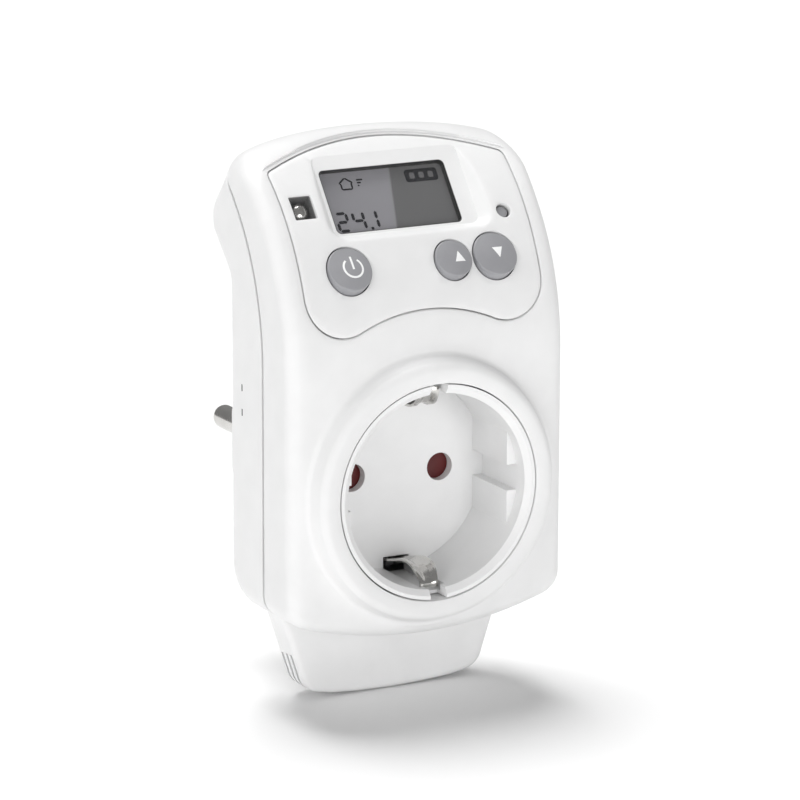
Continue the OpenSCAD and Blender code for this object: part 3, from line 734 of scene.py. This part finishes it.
def control_panel():
    sheet = Sheet()
    edge = []
    for pull, depth in ((0.34, 0.0), (0.22, 0.05), (0.16, 0.18), (0.16, 1.9)):
        outline = panel_outline(PANEL_GAP - 0.1 + pull)
        edge.append(sheet.ring([(x, float(front_y(z, depth)), z) for x, z in outline]))
    sheet.chain(edge)

    loops = [edge[0]]
    hole_shapes = [circle(*POWER, BIG_R + BUTTON_GAP), circle(*DOWN, BIG_R + BUTTON_GAP),
                   circle(*UP, SMALL_R + BUTTON_GAP), circle(*RESET, RESET_HOLE_R, 40),
                   round_box(*LAMP, 0.25)]
    for shape in hole_shapes:
        soft = 0.12 if shape is not hole_shapes[4] else 0.08
        well = [sheet.ring([on_panel(x, u, surface_w(u)) for x, u in grown(shape, soft)]),
                sheet.ring([on_panel(x, u, surface_w(u) - 0.3 * soft) for x, u in grown(shape, 0.3 * soft)]),
                sheet.ring([on_panel(x, u, surface_w(u) - soft) for x, u in shape]),
                sheet.ring([on_panel(x, u, surface_w(u) - 2.4) for x, u in shape])]
        sheet.chain(well)
        loops.append(well[0])

    pocket_floor = round_box(0.4, 1.2, 31.0, 17.0, 1.6)
    draft = 0.85
    brim = []
    for x, u in pocket_floor:
        deep = max(surface_w(u) - POCKET_FLOOR, 0)
        brim.append(deep)
    direction = np.array(grown(pocket_floor, 1.0)) - np.array(pocket_floor)
    floor_line = np.array(pocket_floor)

    def pocket_ring(lift, spill):
        """A ring on the pocket's sloped wall: lift is 0 at the floor and 1 at the surface."""
        points = []
        for (x, u), way, deep in zip(floor_line, direction, brim):
            reach = way * (draft * deep * lift + min(spill, 0.5 * deep))
            px, pu = x + reach[0], u + reach[1]
            top = surface_w(pu)
            w = top if lift == 1 and spill > 0 else POCKET_FLOOR + (top - POCKET_FLOOR) * lift
            points.append(on_panel(px, pu, w))
        return points

    walls = [sheet.ring(pocket_ring(1, 0.5)), sheet.ring(pocket_ring(0.93, 0.12)),
             sheet.ring(pocket_ring(0.8, 0.0)), sheet.ring(pocket_ring(0.12, 0.0)),
             sheet.ring(pocket_ring(0.0, 0.0)), ]
    inner_floor = sheet.ring([on_panel(x, u, POCKET_FLOOR) for x, u in grown(pocket_floor, -0.2)])
    sheet.chain(walls + [inner_floor])
    loops.append(walls[0])
    sheet.fill(loops, lambda v: to_panel(v)[:2], lambda x, u: on_panel(x, u, surface_w(u)), (1.5, 1.1),
               margin=0.35)

    window = round_box(*DISPLAY, 1.0, pitch=1.0)
    lips = [sheet.ring([on_panel(x, u, POCKET_FLOOR) for x, u in grown(window, 0.15)]),
            sheet.ring([on_panel(x, u, POCKET_FLOOR - 0.12) for x, u in window]),
            sheet.ring([on_panel(x, u, POCKET_FLOOR - 1.0) for x, u in window])]
    sheet.chain(lips)
    sheet.fill([inner_floor, lips[0]], lambda v: to_panel(v)[:2],
               lambda x, u: on_panel(x, u, POCKET_FLOOR), (2, 2))
    return mesh_piece(sheet, "control_panel_fascia", "housing", PANEL, ["control_panel"],
                      solid=0.45, middle=(0, -37.4, 50))


control_panel()


# ---------------------------------------------------------------- keys
def panel_turned(sheet, pos, profile, count=72):
    """Rings about an axis square to the panel, for each (radius, w) of the profile."""
    rings = [sheet.ring([on_panel(x, u, w) for x, u in circle(*pos, r, count)]) for r, w in profile]
    sheet.chain(rings)
    return rings


def dome(distance, radius, top=2.1, rise=0.55):
    """Height of a key's crown at a distance from its axis."""
    return top - rise * (distance / radius) ** 2


def key(name, body, node, pos, radius):
    sheet = Sheet()
    soft = 0.32
    flat = radius - soft
    crown = [(flat * t, dome(flat * t, radius)) for t in np.linspace(0.04, 1, 14)]
    brim = crown[-1][1]
    turns = np.radians([20, 40, 60, 80, 90])
    shoulder = [(flat + soft * math.sin(a), brim - soft * (1 - math.cos(a))) for a in turns]
    skirt = [(radius, -3.05), (radius - 0.3, -3.3), (1.7, -3.3), (1.6, -3.4), (1.6, -3.95), (0.3, -3.95)]
    rings = panel_turned(sheet, pos, crown + shoulder + skirt)
    sheet.cap(rings[0])
    sheet.cap(rings[-1])
    for side in (-1, 1):
        lug = round_box(pos[0], pos[1] + side * (radius + 0.1), radius, 1.4, 0.3)
        ends = [sheet.ring([on_panel(x, u, w) for x, u in lug]) for w in (-3.8, -3.05)]
        sheet.bridge(*ends)
        for end in ends:
            sheet.cap(end)
    return mesh_piece(sheet, name, body, KEY, [node], sharp=50)


def printed(name, body, pos, radius, strips):
    """A printed mark on a key's crown, from strips of (x, u) points on either side of a line."""
    sheet = Sheet()
    for left, right in strips:
        left, right = np.array(left), np.array(right)
        lines = [left + (right - left) * t for t in np.linspace(0, 1, 9)]
        low, high = [[sheet.ring([on_panel(pos[0] + x, pos[1] + u, dome(math.hypot(x, u), radius) + lift)
                                  for x, u in line]) for line in lines] for lift in (-0.05, 0.03)]
        sheet.chain(high, closed=False)
        sheet.chain(low, closed=False)
        sheet.bridge(low[0], high[0], closed=False)
        sheet.bridge(low[-1], high[-1], closed=False)
        for end in (0, -1):
            sheet.bridge([ring[end] for ring in low], [ring[end] for ring in high], closed=False)
    return mesh_piece(sheet, name, body, MARK, sharp=50)


def band(line, half):
    """Two lines either side of an open line of (x, u) points."""
    p = np.array(line, float)
    along = np.gradient(p, axis=0)
    along /= np.linalg.norm(along, axis=1)[:, None]
    across = np.stack([-along[:, 1], along[:, 0]], 1) * half
    return (p + across).tolist(), (p - across).tolist()


def triangle(size, point_up, shift):
    """Rows of a filled triangle, from its tip to its base."""
    rows = np.linspace(0.02, 1, 10)
    tip = size * (0.55 if point_up else -0.55)
    fall = -size * 1.05 if point_up else size * 1.05
    left = [(shift - t * size * 0.52, tip + fall * t) for t in rows]
    right = [(shift + t * size * 0.52, tip + fall * t) for t in rows]
    return [(left, right)]


key("power_key_cap", "power_key", "power_button", POWER, BIG_R)
key("up_key_cap", "up_key", "up_button", UP, SMALL_R)
key("down_key_cap", "down_key", "down_button", DOWN, BIG_R)
power_ring = arc(0.45, 0.0, 1.95, 90 + 38, 90 + 322, 36)
power_bar = [(0.45, t) for t in np.linspace(2.35, -0.35, 8)]
printed("power_mark", "power_key", POWER, BIG_R, [band(power_ring, 0.2), band(power_bar, 0.2)])
printed("up_mark", "up_key", UP, SMALL_R, triangle(2.1, True, 0.9))
printed("down_mark", "down_key", DOWN, BIG_R, triangle(2.1, False, 0.4))


def reset_key():
    sheet = Sheet()
    top = 1.5
    crown = [(RESET_R * t, top - 0.25 * t * t) for t in np.linspace(0.05, 0.85, 7)]
    crown += [(RESET_R * 0.96, top - 0.3), (RESET_R, top - 0.45), (RESET_R, -1.5), (2.0, -1.6), (2.0, -2.3),
              (0.9, -2.4), (0.9, -3.9), (0.2, -3.9)]
    rings = panel_turned(sheet, RESET, crown, 40)
    sheet.cap(rings[0])
    sheet.cap(rings[-1])
    return mesh_piece(sheet, "reset_key_pin", "reset_key", KEY, ["reset_button"], sharp=50)


reset_key()


# ---------------------------------------------------------------- display and lamp
GLASS_W, FACE_W = -0.5, -1.45


def shade_across(material, dark_side, edge, lean):
    """Paints shade on a finish, darker on the right of a leaning line: painted shade across the display face."""
    tree = material.node_tree
    shader = tree.nodes["Principled BSDF"]
    base = shader.inputs["Base Color"].links[0].from_socket
    place = tree.nodes.new("ShaderNodeTexCoord")
    across = tree.nodes.new("ShaderNodeVectorMath")
    across.operation = "DOT_PRODUCT"
    across.inputs[1].default_value = (1, 0, -lean)
    start = edge - lean * PANEL_Z
    reach = tree.nodes.new("ShaderNodeMapRange")
    reach.inputs["From Min"].default_value = (start - 0.25) * MM
    reach.inputs["From Max"].default_value = (start + 0.25) * MM
    blend = tree.nodes.new("ShaderNodeMix")
    blend.data_type = "RGBA"
    blend.inputs[7].default_value = (*dark_side, 1)
    tree.links.new(place.outputs["Object"], across.inputs[0])
    tree.links.new(across.outputs["Value"], reach.inputs["Value"])
    tree.links.new(reach.outputs["Result"], blend.inputs[0])
    tree.links.new(base, blend.inputs[6])
    tree.links.new(blend.outputs[2], shader.inputs["Base Color"])
    shader.inputs["Specular IOR Level"].default_value = 0.15
    return material


# The display face, with painted shade on its right part.
DISPLAY_PAINTED_SHADE = make_material("display_face", (0.255, 0.252, 0.27), (0.275, 0.272, 0.29), rough=0.22, bump=0.02, blotch=12)
DISPLAY_PAINTED_SHADE = shade_across(DISPLAY_PAINTED_SHADE, (0.135, 0.135, 0.137), edge=0.35, lean=0.236)


def plate(sheet, outline, low, high):
    """A closed flat slab with the outline, between two heights above the display plane."""
    rings = [sheet.ring([on_panel(x, u, w) for x, u in outline]) for w in (low, high)]
    sheet.bridge(*rings)
    for ring in rings:
        sheet.cap(ring)


def bar(x0, u0, x1, u1, half):
    """Outline of a straight stroke with pointed ends."""
    way = np.array([x1 - x0, u1 - u0]) / math.hypot(x1 - x0, u1 - u0)
    side = np.array([-way[1], way[0]]) * half
    a, b = np.array([x0, u0]), np.array([x1, u1])
    inner = way * half
    return [tuple(p) for p in (a, a + inner - side, b - inner - side, b, b - inner + side, a + inner + side)]


SEGMENTS = {"2": "abged", "4": "fgbc", "1": "bc"}


def digit(char, left, base, width, height, half):
    """Strokes of a seven-segment digit."""
    right, mid, top = left + width, base + height / 2, base + height
    ends = {"a": (left, top, right, top), "g": (left, mid, right, mid), "d": (left, base, right, base),
            "f": (left, mid, left, top), "b": (right, mid, right, top),
            "e": (left, base, left, mid), "c": (right, base, right, mid)}
    gap = half * 0.35
    strokes = []
    for name in SEGMENTS[char]:
        x0, u0, x1, u1 = ends[name]
        along = (gap, 0) if u0 == u1 else (0, gap)
        strokes.append(bar(x0 + along[0], u0 + along[1], x1 - along[0], u1 - along[1], half))
    return strokes


def display():
    cx, cu, width, height = DISPLAY
    face = Sheet()
    plate(face, round_box(cx, cu, width + 0.4, height + 0.4, 1.2), -2.4, FACE_W)
    mesh_piece(face, "display_face", "housing", DISPLAY_PAINTED_SHADE, ["display_module"], sharp=30)

    gasket = Sheet()
    edge = round_box(cx, cu, width, height, 1.0)
    low_w = FACE_W - 0.02
    section = ((0.01, -0.16), (0.1, -0.22), (0.12, low_w), (-0.1, low_w), (-0.1, -0.3))
    rings = [gasket.ring([on_panel(x, u, w) for x, u in grown(edge, -inset)]) for inset, w in section]
    gasket.chain(rings + rings[:1])
    mesh_piece(gasket, "display_gasket", "housing", GASKET_AND_SLIT_SHADE)

    glass = Sheet()
    plate(glass, round_box(cx, cu, width - 0.3, height - 0.3, 0.9), GLASS_W - 0.4, GLASS_W)
    mesh_piece(glass, "display_window_glass", "housing", CLEAR, ["display_window"], sharp=30)

    left, low = cx - width / 2, cu - height / 2
    base, sign_low, pen = low + 1.1, low + 9.7, 0.17
    strokes = []
    for char, shift in (("2", 1.5), ("4", 4.95), ("1", 7.7)):
        strokes += digit(char, left + shift, base, 2.1, 3.7, 0.3)
    strokes.append(round_box(left + 8.3, base, 0.6, 0.6, 0.2, pitch=0.3))
    house = [(0, 0), (0, 1.3), (-0.35, 1.3), (1.1, 2.4), (2.55, 1.3), (2.2, 1.3), (2.2, 0)]
    house = [(left + 4.6 + x, sign_low + u) for x, u in house]
    strokes += [bar(*p, *q, pen) for p, q in zip(house, house[1:] + house[:1])]
    bars_x = left + 8.0
    strokes += [bar(bars_x, sign_low + t, bars_x + 0.8 * t, sign_low + t, pen) for t in (0.6, 1.2, 1.8)]
    marks = Sheet()
    for outline in strokes:
        plate(marks, outline, FACE_W - 0.02, FACE_W + 0.03)
    badge = (left + 22.0, low + 11.25)
    plate(marks, round_box(*badge, 7.0, 2.7, 0.6), FACE_W - 0.02, FACE_W + 0.03)
    mesh_piece(marks, "display_marks", "housing", INK, sharp=30)
    pale = Sheet()
    for shift in (-2.0, 0.0, 2.0):
        plate(pale, round_box(badge[0] + shift, badge[1], 1.1, 1.3, 0.3, pitch=0.3), FACE_W, FACE_W + 0.05)
    mesh_piece(pale, "display_badge_dots", "housing", FACE, sharp=30)


def lamp():
    cx, cu, width, height = LAMP
    brim = surface_w(cu + height / 2) - 0.35
    liner = Sheet()
    edge = round_box(cx, cu, width, height, 0.3, pitch=0.4)
    rings = [liner.ring([on_panel(x, u, w) for x, u in grown(edge, -inset)])
             for inset, w in ((0.0, brim), (0.18, brim), (0.22, -2.3), (-0.05, -2.5))]
    liner.chain(rings)
    liner.cap(rings[2])
    mesh_piece(liner, "lamp_liner", "housing", LEAD_GREY, sharp=30)
    lens = Sheet()
    foot_w = brim - 1.7
    stem_r, dome_r, dome_h = 1.4, 1.85, 1.3
    profile = [(stem_r, -8.4), (stem_r, foot_w - 0.2), (dome_r, foot_w - 0.1)]
    turns = np.radians(np.linspace(0, 88, 14))
    profile += [(dome_r * math.cos(a), foot_w + dome_h * math.sin(a)) for a in turns]
    rings = panel_turned(lens, (cx, cu), profile, 48)
    lens.cap(rings[0])
    lens.cap(rings[-1])
    mesh_piece(lens, "indicator_lamp_dome", "housing", NICKEL, ["indicator_lamp"])
    cover = Sheet()
    plate(cover, round_box(cx, cu, width - 0.5, height - 0.5, 0.3), brim - 0.5, brim - 0.35)
    mesh_piece(cover, "lamp_window_pane", "housing", CLEAR, ["lamp_window"], sharp=30)


display()
lamp()


# ---------------------------------------------------------------- earth clips
def smooth_path(points, count):
    """A smooth curve through the points."""
    p = np.array([2 * np.array(points[0]) - points[1], *points, 2 * np.array(points[-1]) - points[-2]], float)
    line = []
    for i in range(1, len(p) - 2):
        for t in np.linspace(0, 1, count, endpoint=i == len(p) - 3):
            line.append(0.5 * (2 * p[i] + (p[i + 1] - p[i - 1]) * t
                               + (2 * p[i - 1] - 5 * p[i] + 4 * p[i + 1] - p[i + 2]) * t**2
                               + (3 * p[i] - p[i - 1] - 3 * p[i + 1] + p[i + 2]) * t**3))
    return np.array(line)


CLIP_HALF_W, CLIP_T = 2.4, 0.45
CLIP_BACK_Y = -30.8
CLIP_PATH = [(CLIP_BACK_Y, 6.0), (CLIP_BACK_Y, 16.4), (-31.8, 17.4), (-36.0, 17.4), (-40.0, 16.7),
             (-44.5, 15.5), (-48.0, 15.6), (-50.0, 16.8), (-51.2, 18.5), (-51.2, 19.6)]
CLIP_RIB = [(-1, 0), (-0.86, 0.02), (-0.62, 0.04), (-0.45, 1), (-0.2, 1.1), (0, 1.12), (0.2, 1.1), (0.45, 1),
            (0.62, 0.04), (0.86, 0.02), (1, 0)]


def earth_clips():
    """Two spring arms of pressed strip with a raised rib, joined behind the insert."""
    for side, name in ((1, "earth_clip_top"), (-1, "earth_clip_bottom")):
        path = smooth_path(CLIP_PATH, 9)
        along = np.gradient(path, axis=0)
        along /= np.linalg.norm(along, axis=1)[:, None]
        normal = np.stack([along[:, 1], -along[:, 0]], 1)
        sheet = Sheet()
        rings = []
        for (y, z), (ny, nz) in zip(path, normal):
            rib = 0.45 * float(ease(np.array((-37.0 - y) / 3.0)) * ease(np.array((y + 51.8) / 1.5)))
            taper = 1.0 - 0.25 * float(ease(np.array((-49.0 - y) / 3.0)))
            loop = [(CLIP_HALF_W * taper * x, r * rib + CLIP_T / 2) for x, r in CLIP_RIB]
            loop += [(x, h - CLIP_T) for x, h in loop[::-1]]
            rings.append(sheet.ring([(x, y + ny * h, side * (z + nz * h)) for x, h in loop]))
        sheet.chain(rings)
        sheet.cap(rings[0])
        sheet.cap(rings[-1])
        replaced = ["earth_bracket"] if side > 0 else []
        mesh_piece(sheet, name, "housing", NICKEL, replaced, sharp=50)
    link = Sheet()
    x, near, far = CLIP_HALF_W, CLIP_BACK_Y - 0.22, CLIP_BACK_Y + 0.22
    corners = [(-x, near), (x, near), (x, far), (-x, far)]
    loops = [link.ring([(a, b, z) for a, b in corners]) for z in np.linspace(-6.5, 6.5, 8)]
    link.chain(loops)
    link.cap(loops[0])
    link.cap(loops[-1])
    mesh_piece(link, "earth_link", "housing", NICKEL)


earth_clips()


# ---------------------------------------------------------------- floor, light and camera
def floor():
    size = 3.0
    low = FOOT_LOW * MM - 0.0002
    mesh = bpy.data.meshes.new("floor")
    corners = [(-size, -size, low), (size, -size, low), (size, size, low), (-size, size, low)]
    mesh.from_pydata(corners, [], [(0, 1, 2, 3)])
    paper = make_material("floor_paper", grey(0.96), grey(0.97), rough=0.9, blotch=300, grain=2, bump=0.0)
    mesh.materials.append(paper)
    piece = bpy.data.objects.new("floor", mesh)
    bpy.context.scene.collection.objects.link(piece)


def soft_sun(name, towards, strength, spread_angle):
    """An even, soft light from a direction, given as the way from the object to the light."""
    data = bpy.data.lights.new(name, "SUN")
    data.energy, data.angle = strength, math.radians(spread_angle)
    light = bpy.data.objects.new(name, data)
    light.rotation_euler = Vector(towards).to_track_quat("Z", "Y").to_euler()
    bpy.context.scene.collection.objects.link(light)


def camera():
    """Camera at the viewing angle: azimuth, elevation, roll, distance and aim in millimetres."""
    azimuth, elevation, roll = math.radians(-28.36), math.radians(13.74), math.radians(0.16)
    aim, distance = Vector((-4.70, -48.23, 17.02)), 843.1
    level = math.cos(elevation)
    away = Vector((math.sin(azimuth) * level, -math.cos(azimuth) * level, math.sin(elevation)))
    data = bpy.data.cameras.new("camera")
    data.sensor_width, data.lens = 36.0, 201.06
    data.clip_start, data.clip_end = 0.01, 20
    view = bpy.data.objects.new("camera", data)
    view.location = (aim + away * distance) * MM
    turn = (-away).to_track_quat("-Z", "Y").to_matrix() @ Matrix.Rotation(roll, 3, "Z")
    view.rotation_euler = turn.to_euler()
    bpy.context.scene.collection.objects.link(view)
    bpy.context.scene.camera = view


floor()
soft_sun("left_light", (-0.93, -0.35, 0.02), 1.85, 55)
soft_sun("front_light", (0.0, -0.99, 0.05), 1.5, 36)
soft_sun("back_light", (0.0, 0.34, 0.94), 2.6, 34)
world = bpy.data.worlds.new("studio")
world.use_nodes = True
world.node_tree.nodes["Background"].inputs["Color"].default_value = (1, 1, 1, 1)
world.node_tree.nodes["Background"].inputs["Strength"].default_value = 0.25
bpy.context.scene.world = world
bpy.context.scene.view_settings.view_transform = "Standard"
camera()
